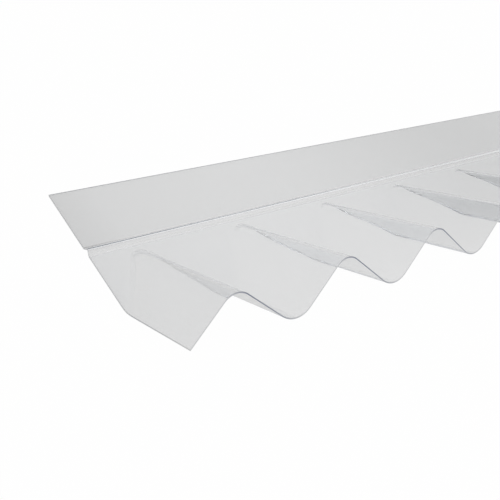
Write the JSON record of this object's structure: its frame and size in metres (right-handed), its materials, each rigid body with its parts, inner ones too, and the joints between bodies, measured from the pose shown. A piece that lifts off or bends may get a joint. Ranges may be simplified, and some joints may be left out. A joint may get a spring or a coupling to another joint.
{
  "type": "wall flashing",
  "caption": "Clear plastic wall flashing: a flat leaf with a bead at its foot, running into a corrugated apron that laps over profiled roofing sheets.",
  "frame": {"origin": "middle of the part's box on the level that its leaf lies on", "axes": "+X along the wall, +Y up the leaf away from the roof, +Z out of the leaf's weather side"},
  "size_m": [0.9144, 0.1626, 0.0518],
  "materials": {
    "clear_pvc": "clear, smooth and glossy, as formed; sawn edges a little darker"
  },
  "bodies": {
    "root": {"flashing_sheet": "clear_pvc"}
  },
  "joints": []
}
